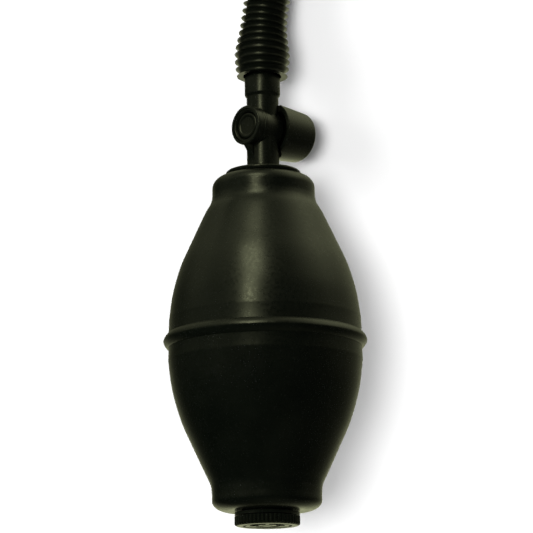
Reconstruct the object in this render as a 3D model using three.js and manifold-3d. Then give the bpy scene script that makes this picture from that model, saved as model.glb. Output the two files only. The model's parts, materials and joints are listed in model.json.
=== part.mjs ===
// One-hand squeeze-bulb pump with a release valve and a corrugated hose, lying on its side.
// Millimetres, +Z up. The pump is built along its own axis (local +Z, towards the hose) and
// then laid down on the bead round its waist, vent cap raised and hose end lowered.
import * as THREE from 'three';
import * as BufferGeometryUtils from 'three/addons/utils/BufferGeometryUtils.js';
import Module from 'manifold-3d';

const wasm = await Module();
wasm.setup();

// ---- driving dimensions ----
const TILT = THREE.MathUtils.degToRad(12); // pump axis below level, hose end down
const GAP = 0.3; // working gap between neighbouring pieces

// squeeze bulb, heights along the pump axis from the bead's plane
const BEAD_R = 28.9;
const BEAD_HALF_WIDTH = 2.4;
const BEAD_PROUD = 1.5;
const BULB_TOP = 47.7; // flat end towards the hose
const BULB_BOTTOM = -48.4; // flat end towards the vent cap
const BULB_WALL = 2.4;
const BULB_END_WALL = 4.0;
const MOUTH_R = 7.5;
const NECK_TOP_CORNER_R = 3.35;
const NECK_BOTTOM_CORNER_R = 2.6;
const BULB_SIDES = 32;

// valve plugs that snap into both mouths of the bulb
const PLUG_R = MOUTH_R - GAP;
const LIP_R = 8.6;
const LIP_THICKNESS = 1.5;
const VALVE_CHAMBER_R = 5.2;
const VALVE_HOLE_R = 2.2;
const VALVE_LIFT = 1.2;
const DISC_R = 4.0;
const DISC_THICKNESS = 1.0;
const RETAINER_THICKNESS = 1.5;

// hose flange and tee
const FLANGE_R = 10.8;
const FLANGE_THICKNESS = 1.45;
const FLANGE_CHAMFER = 0.45;
const SOCKET_R = 3.7;
const TAIL_R = 3.4;
const AIRWAY_R = 2.0;
const LOWER_STEM_R = 4.65;
const UPPER_STEM_R = 4.6;
const HOSE_COLLAR_R = 5.13;
const HOSE_COLLAR_START = 72.1;
const HOSE_START = 78.0;
const BARB_END = 91.5;
const BARB_CREST_R = 4.75;
const BARB_ROOT_R = 3.7;

// release valve, a cross barrel through the tee; distances along it from the stem's axis
const BARREL_HEIGHT = 62.3;
const BARREL_TURN = THREE.MathUtils.degToRad(45);
const BARREL_R = 5.5;
const BARREL_RIM_R = 5.75;
const BARREL_RIM_BACK = -3.2;
const BARREL_FRONT = -7.2;
const BARREL_BACK = 3.0;
const BOSS_R = 4.7;
const BOSS_END = 9.0;
const BARREL_BORE_R = 2.6;
const COUNTERBORE_R = 4.9;
const COUNTERBORE_END = -3.6;
const SEAT_FACE = -4.6;
const SEAT_RECESS_R = 4.15;
const POPPET_R = 3.8;
const PIN_R = 1.2;
const PIN_HOLE_R = 1.5;
const BUTTON_RIM_R = 8.2;
const BUTTON_END_R = 7.3;
const BUTTON_START = 2.7;
const BUTTON_END = 15.1;
const BUTTON_MOUTH_R = 6.8;
const BUTTON_BORE_R = 5.1;
const BUTTON_STROKE = 0.8;
const STEM_NOTCH_R = 4.85; // the button's skirt straddles the stem
const BUTTON_END_WALL = 1.4;
const SPRING_R = 3.7;
const SPRING_WIRE_R = 0.35;
const SPRING_TURNS = 3;

// vent end
const COLLAR_R = 9.35;
const COLLAR_THICKNESS = 0.9;
const CAP_R = 9.2;
const CAP_RIB_DEPTH = 0.3;
const CAP_RIBS = 48;
const CAP_START = -49.9;
const CAP_END = -52.5;
const CAP_END_WALL = 0.8;
const CAP_BORE_R = 7.4;
const SPIGOT_R = 7.0;
const SPIGOT_END = -50.9;
const FILTER_R = 6.6;

// hose, a plain tube along the corrugated hose's middle
const HOSE_R = 6.8;
const HOSE_BORE_R = 5.5;
const HOSE_SIDES = 10;
const HOSE_STEPS = 36;
const LOOP_R = 69;
const LOOP_CENTRE = [-51, 188];
const HOSE_END_RUN = 7; // straight after the loop

const materials = {
  bulb: new THREE.MeshStandardMaterial({ color: 0x14170f, roughness: 0.5, metalness: 0 }),
  plastic: new THREE.MeshStandardMaterial({ color: 0x16180f, roughness: 0.35, metalness: 0 }),
  hose: new THREE.MeshStandardMaterial({ color: 0x15170f, roughness: 0.45, metalness: 0 }),
  seal: new THREE.MeshStandardMaterial({ color: 0x0c0c0c, roughness: 0.7, metalness: 0 }),
  steel: new THREE.MeshStandardMaterial({ color: 0xb4b6b8, roughness: 0.3, metalness: 1 }),
  foam: new THREE.MeshStandardMaterial({ color: 0x5d5f5c, roughness: 0.95, metalness: 0 }),
};

// ---- solid helpers ----
function weld(geometry) {
  const plain = geometry.index ? geometry.toNonIndexed() : geometry;
  plain.deleteAttribute('normal');
  plain.deleteAttribute('uv');
  const merged = BufferGeometryUtils.mergeVertices(plain, 1e-4);
  const index = merged.index.array;
  const kept = [];
  for (let i = 0; i < index.length; i += 3) {
    const [a, b, c] = [index[i], index[i + 1], index[i + 2]];
    if (a !== b && b !== c && c !== a) kept.push(a, b, c);
  }
  merged.setIndex(kept);
  return merged;
}

function toSolid(geometry) {
  const welded = weld(geometry);
  const mesh = new wasm.Mesh({
    numProp: 3,
    vertProperties: new Float32Array(welded.attributes.position.array),
    triVerts: new Uint32Array(welded.index.array),
  });
  return new wasm.Manifold(mesh);
}

function toGeometry(solid) {
  const mesh = solid.getMesh();
  const geometry = new THREE.BufferGeometry();
  geometry.setAttribute('position', new THREE.BufferAttribute(new Float32Array(mesh.vertProperties), 3));
  geometry.setIndex(new THREE.BufferAttribute(new Uint32Array(mesh.triVerts), 1));
  return geometry;
}

// A closed outline of [radius, height] corners, listed anticlockwise, turned round local Z.
function revolve(outline, sides = 24) {
  const points = outline.map(([radius, height]) => new THREE.Vector2(radius, height));
  const onAxis = outline[0][0] === 0 && outline[outline.length - 1][0] === 0;
  if (!onAxis) points.push(points[0].clone());
  const geometry = new THREE.LatheGeometry(points, sides);
  geometry.rotateX(Math.PI / 2);
  return geometry;
}

function turned(outline, sides) {
  return toSolid(revolve(outline, sides));
}

function rod(radius, from, to, sides = 24) {
  return turned([[0, from], [radius, from], [radius, to], [0, to]], sides);
}

function ring(inner, outer, from, to, sides = 24) {
  return turned([[inner, from], [outer, from], [outer, to], [inner, to]], sides);
}

function box(width, depth, height, x, y, z) {
  const geometry = new THREE.BoxGeometry(width, depth, height);
  geometry.translate(x, y, z);
  return toSolid(geometry);
}

// Corners along an arc in the [radius, height] plane, angles in degrees.
function arc(centre, radiusR, radiusZ, fromDeg, toDeg, steps) {
  const corners = [];
  for (let i = 0; i <= steps; i += 1) {
    const angle = THREE.MathUtils.degToRad(fromDeg + ((toDeg - fromDeg) * i) / steps);
    corners.push([centre[0] + radiusR * Math.cos(angle), centre[1] + radiusZ * Math.sin(angle)]);
  }
  return corners;
}

// A round-section torus, its tube's middle at the given radius and height.
function oRing(middleR, height, tubeR, sides = 20) {
  return revolve(arc([middleR, height], tubeR, tubeR, 0, 300, 5), sides);
}

function along(solid, direction) {
  const turn = new THREE.Matrix4().makeRotationFromQuaternion(
    new THREE.Quaternion().setFromUnitVectors(new THREE.Vector3(0, 0, 1), direction),
  );
  turn.setPosition(0, 0, BARREL_HEIGHT);
  const geometry = toGeometry(solid);
  geometry.applyMatrix4(turn);
  return toSolid(geometry);
}

function add(parent, name, shape, material) {
  const geometry = shape.isBufferGeometry ? shape : toGeometry(shape);
  const mesh = new THREE.Mesh(geometry, material);
  mesh.name = name;
  parent.add(mesh);
  return mesh;
}

// ---- groups: everything, the laid-down pump, its release barrel ----
const siphonBulbPump = new THREE.Group();
const pump = new THREE.Group();
pump.rotation.x = -(Math.PI / 2 + TILT);
siphonBulbPump.add(pump);

const barrel = new THREE.Group();
const barrelDirection = new THREE.Vector3(Math.cos(BARREL_TURN), Math.sin(BARREL_TURN), 0);
barrel.position.set(0, 0, BARREL_HEIGHT);
barrel.quaternion.setFromUnitVectors(new THREE.Vector3(0, 0, 1), barrelDirection);
pump.add(barrel);

// ---- squeeze bulb ----
// The bulb is one moulding. It is held here as two half shells, left and right, so that each
// side can be pressed in.
const upperFlank = [
  [14.8, 40.3], [17.1, 36.6], [20.6, 29.0], [23.9, 21.6], [26.2, 13.6], [27.3, 6.0],
];
const lowerFlank = [
  [27.4, -5.6], [26.3, -14.0], [23.9, -22.8], [20.8, -30.0], [17.2, -37.8], [15.45, -42.0],
];
const NECK_TOP_R = 14.75;
const NECK_BOTTOM_R = 15.35;

function flank(corners, inset, steps) {
  const curve = new THREE.SplineCurve(corners.map(([r, z]) => new THREE.Vector2(r, z)));
  const points = [];
  for (let i = 0; i <= steps; i += 1) {
    const at = curve.getPoint(i / steps);
    const way = curve.getTangent(i / steps);
    points.push([at.x + way.y * inset, at.y - way.x * inset]);
  }
  return points;
}

function beadOutline() {
  return arc([BEAD_R - BEAD_PROUD, 0.1], BEAD_PROUD, BEAD_HALF_WIDTH, -90, 90, 6);
}

// Quarter circle between a neck's side and its flat end; way is 1 at the top, -1 at the bottom.
function roundCorner(neckR, end, cornerR, way) {
  const centre = [neckR - cornerR, end - way * cornerR];
  const [from, to] = way > 0 ? [0, 90] : [-90, 0];
  return arc(centre, cornerR, cornerR, from, to, 3);
}

function bulbOutline() {
  const [insideTop, insideBottom] = [BULB_TOP - BULB_END_WALL, BULB_BOTTOM + BULB_END_WALL];
  const outer = [
    [MOUTH_R, BULB_BOTTOM],
    ...roundCorner(NECK_BOTTOM_R, BULB_BOTTOM, NECK_BOTTOM_CORNER_R, -1),
    ...flank(lowerFlank, 0, 9).reverse(),
    ...beadOutline(),
    ...flank(upperFlank, 0, 9).reverse(),
    ...roundCorner(NECK_TOP_R, BULB_TOP, NECK_TOP_CORNER_R, 1),
    [MOUTH_R, BULB_TOP],
  ];
  const inner = [
    [MOUTH_R, insideTop],
    [NECK_TOP_R - BULB_WALL, insideTop],
    ...flank(upperFlank, BULB_WALL, 6),
    ...flank(lowerFlank, BULB_WALL, 6),
    [NECK_BOTTOM_R - BULB_WALL, insideBottom],
    [MOUTH_R, insideBottom],
  ];
  return [...outer, ...inner];
}

function addBulb() {
  const whole = turned(bulbOutline(), BULB_SIDES);
  const reach = 2 * BULB_TOP;
  for (const [name, side] of [['bulb_wall_left', -1], ['bulb_wall_right', 1]]) {
    const half = box(reach, reach, 1.2 * reach, side * (reach / 2 + GAP / 2), 0, 0);
    add(pump, name, whole.intersect(half), materials.bulb);
  }
}

// ---- hose end: flange, valve and tee ----
// A plug with a snap-in lip. Heights run from the valve chamber's open end to the bulb's
// outer face; the chamber's roof is the valve seat.
const FLANGE_UNDERSIDE = BULB_TOP + GAP;
const FLANGE_TOP = FLANGE_UNDERSIDE + FLANGE_THICKNESS;
const HOSE_SEAT = 41.8;
const HOSE_CHAMBER_END = 37.0;
const CHAMBER_BODY_R = 6.6;

function addHoseFlange() {
  const lipTop = BULB_TOP - BULB_END_WALL - GAP;
  const lipBottom = lipTop - LIP_THICKNESS;
  const outline = [
    [VALVE_HOLE_R, HOSE_SEAT],
    [VALVE_CHAMBER_R, HOSE_SEAT],
    [VALVE_CHAMBER_R, HOSE_CHAMBER_END],
    [CHAMBER_BODY_R, HOSE_CHAMBER_END],
    [CHAMBER_BODY_R, lipBottom - 1],
    [LIP_R, lipBottom + 0.4],
    [LIP_R, lipTop],
    [PLUG_R, lipTop],
    [PLUG_R, FLANGE_UNDERSIDE],
    [FLANGE_R - 2 * FLANGE_CHAMFER, FLANGE_UNDERSIDE],
    [FLANGE_R, FLANGE_UNDERSIDE + FLANGE_CHAMFER],
    [FLANGE_R, FLANGE_TOP - 0.3],
    [FLANGE_R - 0.3, FLANGE_TOP],
    [SOCKET_R, FLANGE_TOP],
    [SOCKET_R, HOSE_SEAT + 1.3],
    [VALVE_HOLE_R, HOSE_SEAT + 1.3],
  ];
  add(pump, 'hose_flange', revolve(outline, 24), materials.plastic);
}

function valveRetainer(low, high) {
  let body = ring(1.6, VALVE_CHAMBER_R - 0.2, low, high, 24);
  for (let i = 0; i < 4; i += 1) {
    const angle = (i * Math.PI) / 2;
    const geometry = new THREE.CylinderGeometry(0.9, 0.9, 4 * (high - low), 10);
    geometry.rotateX(Math.PI / 2);
    geometry.translate(3.2 * Math.cos(angle), 3.2 * Math.sin(angle), (low + high) / 2);
    body = body.subtract(toSolid(geometry));
  }
  return body;
}

function addHoseValve() {
  const discTop = HOSE_SEAT - GAP;
  const discBottom = discTop - DISC_THICKNESS;
  const retainerTop = discBottom - VALVE_LIFT - GAP;
  add(pump, 'hose_valve_disc', rod(DISC_R, discBottom, discTop), materials.seal);
  const retainer = valveRetainer(retainerTop - RETAINER_THICKNESS, retainerTop);
  add(pump, 'hose_valve_retainer', retainer, materials.plastic);
}

const TAIL_END = 43.5;
const O_RING_HEIGHT = 46.0;
const O_RING_TUBE_R = 0.55;

function teeStem() {
  const stemStart = FLANGE_TOP + GAP;
  const groove = [O_RING_HEIGHT - 0.75, O_RING_HEIGHT + 0.75];
  const outline = [
    [0, TAIL_END], [TAIL_R - 0.3, TAIL_END], [TAIL_R, TAIL_END + 0.4],
    [TAIL_R, groove[0]], [2.4, groove[0]], [2.4, groove[1]], [TAIL_R, groove[1]],
    [TAIL_R, stemStart], [LOWER_STEM_R + 0.35, stemStart], [LOWER_STEM_R, stemStart + 0.5],
    [LOWER_STEM_R, BARREL_HEIGHT], [UPPER_STEM_R, BARREL_HEIGHT + 3],
    [UPPER_STEM_R, HOSE_COLLAR_START - 0.2], [HOSE_COLLAR_R, HOSE_COLLAR_START + 0.2],
    [HOSE_COLLAR_R, HOSE_START - GAP], [BARB_ROOT_R, HOSE_START - GAP],
  ];
  const pitch = (BARB_END - HOSE_START - 2) / 3;
  for (let i = 0; i < 3; i += 1) {
    const start = HOSE_START + 2 + i * pitch;
    outline.push([BARB_ROOT_R, start], [BARB_CREST_R, start + 0.6], [BARB_ROOT_R + 0.1, start + pitch - 0.2]);
  }
  outline.push([BARB_ROOT_R - 0.6, BARB_END], [0, BARB_END]);
  return turned(outline, 20);
}

function teeBarrel() {
  return turned([
    [0, BARREL_FRONT], [BARREL_RIM_R - 0.4, BARREL_FRONT], [BARREL_RIM_R, BARREL_FRONT + 0.4],
    [BARREL_RIM_R, BARREL_RIM_BACK - 0.15], [BARREL_R, BARREL_RIM_BACK], [BARREL_R, BARREL_BACK],
    [BOSS_R, BARREL_BACK], [BOSS_R, BOSS_END - 0.4], [BOSS_R - 0.4, BOSS_END], [0, BOSS_END],
  ], 24);
}

// Small web that stiffens the corner between the lower stem and the barrel's front end.
function teeWeb() {
  const web = new THREE.Shape();
  web.moveTo(0, 0);
  web.lineTo(-4.5, 0);
  web.lineTo(-5.1, 2);
  web.lineTo(-6.8, 4.6);
  web.lineTo(-6.8, 8);
  web.lineTo(0, 8);
  const geometry = new THREE.ExtrudeGeometry(web, { depth: 2, bevelEnabled: false, steps: 1 });
  geometry.rotateX(Math.PI / 2);
  geometry.translate(0, 1, BARREL_HEIGHT - 10);
  geometry.rotateZ(BARREL_TURN);
  return toSolid(geometry);
}

function addTee() {
  const airway = rod(AIRWAY_R, TAIL_END - 5, BARB_END + 5, 16);
  const bore = rod(BARREL_BORE_R, BARREL_FRONT - 2, BOSS_END + 2, 16);
  const counterbore = rod(COUNTERBORE_R, BARREL_FRONT - 2, COUNTERBORE_END, 20);
  const body = teeStem()
    .add(along(teeBarrel(), barrelDirection))
    .add(teeWeb())
    .subtract(airway)
    .subtract(along(bore.add(counterbore), barrelDirection));
  add(pump, 'tee_body', body, materials.plastic);
  const sealRing = oRing(2.4 + O_RING_TUBE_R + 0.05, O_RING_HEIGHT, O_RING_TUBE_R);
  add(pump, 'tee_o_ring', sealRing, materials.seal);
}

// ---- release valve ----
function addSeatRing() {
  const ringR = COUNTERBORE_R - GAP;
  const [front, back] = [BARREL_FRONT + 0.15, COUNTERBORE_END - GAP];
  const outline = [
    [BARREL_BORE_R, SEAT_FACE], [SEAT_RECESS_R, SEAT_FACE], [SEAT_RECESS_R, front],
    [ringR, front], [ringR, back], [BARREL_BORE_R, back],
  ];
  add(barrel, 'release_seat_ring', revolve(outline, 24), materials.plastic);
}

function addReleasePieces() {
  const sealFront = SEAT_FACE - GAP;
  const seal = ring(PIN_HOLE_R, POPPET_R - 0.25, sealFront - 0.5, sealFront, 24);
  add(barrel, 'release_seal', seal, materials.seal);

  const poppetBack = sealFront - 0.5 - GAP;
  const poppet = [
    [0, poppetBack - 0.8], [POPPET_R - 0.25, poppetBack - 0.8], [POPPET_R, poppetBack - 0.55],
    [POPPET_R, poppetBack], [0, poppetBack],
  ];
  add(barrel, 'release_poppet', revolve(poppet, 24), materials.plastic);

  const pinEnd = BUTTON_END - BUTTON_END_WALL - GAP;
  add(barrel, 'release_pin', rod(PIN_R, poppetBack + GAP, pinEnd, 16), materials.steel);

  const bush = ring(PIN_HOLE_R, BARREL_BORE_R - 0.2, 7.0, BOSS_END - 0.2, 20);
  add(barrel, 'pin_guide_bush', bush, materials.plastic);
  add(barrel, 'release_pin_o_ring', oRing(1.9, 5.6, 0.5, 20), materials.seal);
}

// Room for the stem in the button's skirt, from rest to fully pressed.
function stemNotch() {
  const reach = 3 * BUTTON_RIM_R;
  const geometry = new THREE.CylinderGeometry(STEM_NOTCH_R, STEM_NOTCH_R, reach, 24);
  geometry.rotateZ(Math.PI / 2);
  geometry.translate(0, 0, BUTTON_STROKE);
  const mouth = box(reach, 2 * STEM_NOTCH_R, 6, 0, 0, BUTTON_STROKE - 3);
  const notch = toGeometry(toSolid(geometry).add(mouth));
  notch.rotateZ(BARREL_TURN);
  return toSolid(notch);
}

function addButton() {
  const innerEnd = BUTTON_END - BUTTON_END_WALL;
  const socketR = 2.3;
  const outline = [
    [0, innerEnd], [PIN_HOLE_R, innerEnd], [PIN_HOLE_R, innerEnd - 1.6], [socketR, innerEnd - 1.6],
    [socketR, innerEnd], [BUTTON_BORE_R, innerEnd], [BUTTON_BORE_R, BOSS_END],
    [BUTTON_MOUTH_R, BUTTON_START], [BUTTON_RIM_R, BUTTON_START], [BUTTON_END_R, BUTTON_END - 0.7],
    [BUTTON_END_R - 0.7, BUTTON_END], [0, BUTTON_END],
  ];
  add(barrel, 'release_button', turned(outline, 28).subtract(stemNotch()), materials.plastic);
}

class SpringCurve extends THREE.Curve {
  constructor(radius, from, to, turns) {
    super();
    Object.assign(this, { radius, from, to, turns });
  }

  getPoint(t, target = new THREE.Vector3()) {
    const angle = 2 * Math.PI * this.turns * t;
    const height = this.from + (this.to - this.from) * t;
    return target.set(this.radius * Math.cos(angle), this.radius * Math.sin(angle), height);
  }
}

function circleShape(radius, sides) {
  const shape = new THREE.Shape();
  for (let i = 0; i < sides; i += 1) {
    const angle = (2 * Math.PI * i) / sides;
    const corner = [radius * Math.cos(angle), radius * Math.sin(angle)];
    if (i === 0) shape.moveTo(...corner);
    else shape.lineTo(...corner);
  }
  return shape;
}

function addSpring() {
  const from = BOSS_END + SPRING_WIRE_R + 0.1;
  const to = BUTTON_END - BUTTON_END_WALL - SPRING_WIRE_R - 0.1;
  const path = new SpringCurve(SPRING_R, from, to, SPRING_TURNS);
  const options = { steps: SPRING_TURNS * 10, extrudePath: path, bevelEnabled: false };
  const geometry = new THREE.ExtrudeGeometry(circleShape(SPRING_WIRE_R, 5), options);
  add(barrel, 'release_spring', weld(geometry), materials.steel);
}

// ---- vent end ----
const VENT_SEAT = -46.0;

function addVentBody() {
  const collarTop = BULB_BOTTOM - GAP;
  const collarEnd = collarTop - COLLAR_THICKNESS;
  const lipInner = BULB_BOTTOM + BULB_END_WALL + GAP;
  const lipOuter = lipInner + LIP_THICKNESS;
  const outline = [
    [VALVE_CHAMBER_R, SPIGOT_END], [SPIGOT_R, SPIGOT_END], [SPIGOT_R, collarEnd],
    [COLLAR_R, collarEnd], [COLLAR_R, collarTop], [PLUG_R, collarTop], [PLUG_R, lipInner],
    [LIP_R, lipInner], [LIP_R, lipOuter - 0.4], [LIP_R - 1.2, lipOuter],
    [VALVE_HOLE_R, lipOuter], [VALVE_HOLE_R, VENT_SEAT], [VALVE_CHAMBER_R, VENT_SEAT],
  ];
  add(pump, 'vent_valve_body', revolve(outline, 28), materials.plastic);
}

function addVentValve() {
  const discTop = VENT_SEAT - GAP;
  const discBottom = discTop - DISC_THICKNESS;
  const retainerTop = discBottom - VALVE_LIFT - GAP;
  add(pump, 'vent_valve_disc', rod(DISC_R, discBottom, discTop), materials.seal);
  const retainer = valveRetainer(retainerTop - RETAINER_THICKNESS, retainerTop);
  add(pump, 'vent_valve_retainer', retainer, materials.plastic);
  const filterTop = SPIGOT_END - 0.25;
  add(pump, 'vent_filter', rod(FILTER_R, filterTop - 0.4, filterTop, 24), materials.foam);
}

function ribbedOutline() {
  const shape = new THREE.Shape();
  const corners = CAP_RIBS * 2;
  for (let i = 0; i < corners; i += 1) {
    const angle = (2 * Math.PI * i) / corners;
    const radius = i % 2 === 0 ? CAP_R : CAP_R - CAP_RIB_DEPTH;
    const corner = [radius * Math.cos(angle), radius * Math.sin(angle)];
    if (i === 0) shape.moveTo(...corner);
    else shape.lineTo(...corner);
  }
  return shape;
}

// One curved slot through the cap's end, round its middle.
function kidneySlot(middleR, halfWidth, middleAngle, spread) {
  const shape = new THREE.Shape();
  const [low, high] = [middleAngle - spread, middleAngle + spread];
  const tip = (angle) => [middleR * Math.cos(angle), middleR * Math.sin(angle)];
  shape.absarc(0, 0, middleR + halfWidth, low, high, false);
  shape.absarc(...tip(high), halfWidth, high, high + Math.PI, false);
  shape.absarc(0, 0, middleR - halfWidth, high, low, true);
  shape.absarc(...tip(low), halfWidth, low + Math.PI, low + 2 * Math.PI, false);
  const geometry = new THREE.ExtrudeGeometry(shape, { depth: 4, bevelEnabled: false, curveSegments: 5 });
  geometry.translate(0, 0, CAP_END - 2);
  return toSolid(geometry);
}

function addVentCap() {
  const length = CAP_START - CAP_END;
  const blank = new THREE.ExtrudeGeometry(ribbedOutline(), { depth: length, bevelEnabled: false });
  blank.translate(0, 0, CAP_END);
  let cap = toSolid(blank)
    .subtract(rod(CAP_BORE_R, CAP_END + CAP_END_WALL, CAP_START + 1, 28))
    .subtract(ring(6.2, 6.9, CAP_END - 1, CAP_END + 0.3, 28));
  for (let i = 0; i < 3; i += 1) {
    cap = cap.subtract(kidneySlot(3.5, 1.15, Math.PI / 2 + (i * 2 * Math.PI) / 3, 0.55));
  }
  add(pump, 'vent_cap', cap, materials.plastic);
}

// ---- hose and its connector, lying on the floor ----
// The bead's middle stands this high when its lowest edge touches the floor.
const beadDrops = beadOutline().map(([r, z]) => r * Math.cos(TILT) + z * Math.sin(TILT));
const BEAD_HEIGHT = Math.max(...beadDrops);
const hoseStart = new THREE.Vector3(0, HOSE_START * Math.cos(TILT), BEAD_HEIGHT - HOSE_START * Math.sin(TILT));
const HOSE_FLOOR = 6.95; // height of the hose's middle where it lies

function hoseRoute() {
  const points = [
    [hoseStart.x, hoseStart.y, hoseStart.z],
    [0.12, hoseStart.y + 7, hoseStart.z - 1.5],
    [0.62, 91.5, 8.75],
    [1.75, 99.5, 7.5],
    [3.3, 108.5, 7.0],
    [5.7, 120, HOSE_FLOOR],
    [9.1, 135, HOSE_FLOOR],
    [13.1, 153, HOSE_FLOOR],
    [16.4, 170, HOSE_FLOOR],
  ];
  const turns = 12;
  for (let i = 0; i <= turns; i += 1) {
    const angle = (1.5 * Math.PI * i) / turns;
    const x = LOOP_CENTRE[0] + LOOP_R * Math.cos(angle);
    const y = LOOP_CENTRE[1] + LOOP_R * Math.sin(angle);
    points.push([x, y, HOSE_FLOOR]);
  }
  points.push([LOOP_CENTRE[0] + HOSE_END_RUN, LOOP_CENTRE[1] - LOOP_R, HOSE_FLOOR]);
  return new THREE.CatmullRomCurve3(points.map((p) => new THREE.Vector3(...p)));
}

function addHose(ground) {
  const section = circleShape(HOSE_R, HOSE_SIDES);
  section.holes.push(circleShape(HOSE_BORE_R, HOSE_SIDES));
  const options = { steps: HOSE_STEPS, extrudePath: hoseRoute(), bevelEnabled: false };
  add(ground, 'hose_tube', weld(new THREE.ExtrudeGeometry(section, options)), materials.hose);
}

function addConnector(ground) {
  const end = new THREE.Group();
  end.position.set(LOOP_CENTRE[0] + HOSE_END_RUN, LOOP_CENTRE[1] - LOOP_R, HOSE_FLOOR);
  end.rotation.y = Math.PI / 2;
  ground.add(end);
  const outline = [
    [1.6, -8.0], [2.6, -8.0], [4.1, -6.2], [3.4, -6.0], [3.4, -4.0], [4.1, -2.2], [3.4, -2.0],
    [3.4, GAP], [6.4, GAP], [6.7, 0.8], [6.7, 11.0], [6.2, 12.5], [4.4, 14.0], [4.4, 20.0],
    [3.5, 20.0], [3.5, 22.0], [4.4, 22.0], [4.2, 27.0], [3.3, 33.0], [1.6, 33.0],
  ];
  add(end, 'hose_connector', revolve(outline, 20), materials.plastic);
  add(end, 'connector_o_ring', oRing(4.3, 21.0, 0.75, 20), materials.seal);
}

// ---- the whole ----
// The origin is under the middle of the pump's own box, hose left out.
const lowestY = CAP_END * Math.cos(TILT) - CAP_R * Math.sin(TILT);
const highestY = BARB_END * Math.cos(TILT) + (BARB_ROOT_R - 0.6) * Math.sin(TILT);
const middleY = (lowestY + highestY) / 2;
siphonBulbPump.position.set(0, -middleY, 0);
pump.position.set(0, 0, BEAD_HEIGHT);

addBulb();
addHoseFlange();
addHoseValve();
addTee();
addSeatRing();
addReleasePieces();
addButton();
addSpring();
addVentBody();
addVentValve();
addVentCap();
addHose(siphonBulbPump);
addConnector(siphonBulbPump);

export default siphonBulbPump;
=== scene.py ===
"""The looks of a one-hand squeeze-bulb pump: rubber bulb, vent cap, tee with release valve, corrugated hose.

Sizes are millimetres in the pump's own frame (z along its axis, from the bead's plane towards the hose)
unless a name ends in _M. The pump's frame and the release barrel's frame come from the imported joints.
"""
import json
import math

import bmesh
import bpy
import numpy as np
from mathutils import Matrix, Vector


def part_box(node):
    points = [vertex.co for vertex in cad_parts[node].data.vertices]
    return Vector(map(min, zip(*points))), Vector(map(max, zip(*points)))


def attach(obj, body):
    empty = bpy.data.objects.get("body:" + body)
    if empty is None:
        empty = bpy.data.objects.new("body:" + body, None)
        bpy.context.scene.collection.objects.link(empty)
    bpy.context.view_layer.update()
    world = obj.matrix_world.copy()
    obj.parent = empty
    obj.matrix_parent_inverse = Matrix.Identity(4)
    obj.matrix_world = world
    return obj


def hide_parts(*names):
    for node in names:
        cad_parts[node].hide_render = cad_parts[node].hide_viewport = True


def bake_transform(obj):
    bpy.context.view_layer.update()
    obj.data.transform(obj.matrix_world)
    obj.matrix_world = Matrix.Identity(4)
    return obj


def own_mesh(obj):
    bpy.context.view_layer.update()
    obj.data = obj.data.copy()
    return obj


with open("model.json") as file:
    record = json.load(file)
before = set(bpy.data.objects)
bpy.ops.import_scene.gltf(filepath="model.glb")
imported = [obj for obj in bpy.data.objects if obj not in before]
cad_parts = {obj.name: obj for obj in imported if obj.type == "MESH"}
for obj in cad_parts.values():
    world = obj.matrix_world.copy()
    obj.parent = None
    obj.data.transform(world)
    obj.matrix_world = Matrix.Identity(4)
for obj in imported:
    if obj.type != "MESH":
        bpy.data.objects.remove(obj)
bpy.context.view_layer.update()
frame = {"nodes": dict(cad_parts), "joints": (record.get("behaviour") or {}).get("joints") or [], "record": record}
MM = 0.001

# ---- frames -------------------------------------------------------------------------------------
JOINTS = {joint["name"]: joint for joint in frame["joints"]}
CAP_PIVOT = 51.2  # the cap's pivot lies this far from the bead's plane
BARREL_HEIGHT = 62.3


def axes_matrix(x_axis, y_axis, z_axis, origin):
    columns = Matrix((x_axis, y_axis, z_axis)).transposed().to_4x4()
    return Matrix.Translation(origin) @ columns


def pump_matrix():
    towards_hose = -Vector(JOINTS["cap_unscrew"]["axis"]).normalized()
    side = Vector((1, 0, 0))
    bead = Vector(JOINTS["cap_unscrew"]["pos_m"]) + towards_hose * CAP_PIVOT * MM
    return axes_matrix(side, towards_hose.cross(side), towards_hose, bead)


def barrel_matrix(pump):
    towards_button = -Vector(JOINTS["release_press"]["axis"]).normalized()
    along_pump = pump.to_3x3().col[2].normalized()
    middle = pump @ Vector((0, 0, BARREL_HEIGHT * MM))
    return axes_matrix(along_pump, towards_button.cross(along_pump), towards_button, middle)


PUMP = pump_matrix()
BARREL = barrel_matrix(PUMP)
BEAD_POINT = PUMP.translation.copy()

# ---- camera -------------------------------------------------------------------------------------
CAMERA_HEIGHT_M = 0.7046
CAMERA_AIM = (0.6, 21.2)  # beside and beyond the bead's middle
CAMERA_LENS = 160.8
CAMERA_SENSOR = 36
CAMERA_CLIP_M = (0.01, 50)
CAMERA_ROLL = math.radians(-0.67)


def add_camera():
    data = bpy.data.cameras.new("camera")
    data.lens = CAMERA_LENS
    data.sensor_width = CAMERA_SENSOR
    data.clip_start, data.clip_end = CAMERA_CLIP_M
    camera = bpy.data.objects.new("camera", data)
    bpy.context.scene.collection.objects.link(camera)
    camera.location = (CAMERA_AIM[0] * MM, BEAD_POINT.y + CAMERA_AIM[1] * MM, CAMERA_HEIGHT_M)
    camera.rotation_euler = (0, 0, CAMERA_ROLL)
    bpy.context.scene.camera = camera


add_camera()


# ---- mesh helpers -------------------------------------------------------------------------------
SHARP_ANGLE = math.radians(35)
ON_AXIS = 1e-6  # a radius below this is on the axis
FILLET_SHARE = 0.45  # the most of either side that a corner's fillet may take


def link_mesh(name, verts, faces, sharp_angle=SHARP_ANGLE):
    mesh = bpy.data.meshes.new(name)
    mesh.from_pydata([tuple(v) for v in verts], [], faces)
    mesh.validate()
    mesh.shade_smooth()
    mesh.set_sharp_from_angle(angle=sharp_angle)
    piece = bpy.data.objects.new(name, mesh)
    bpy.context.scene.collection.objects.link(piece)
    return piece


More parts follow.
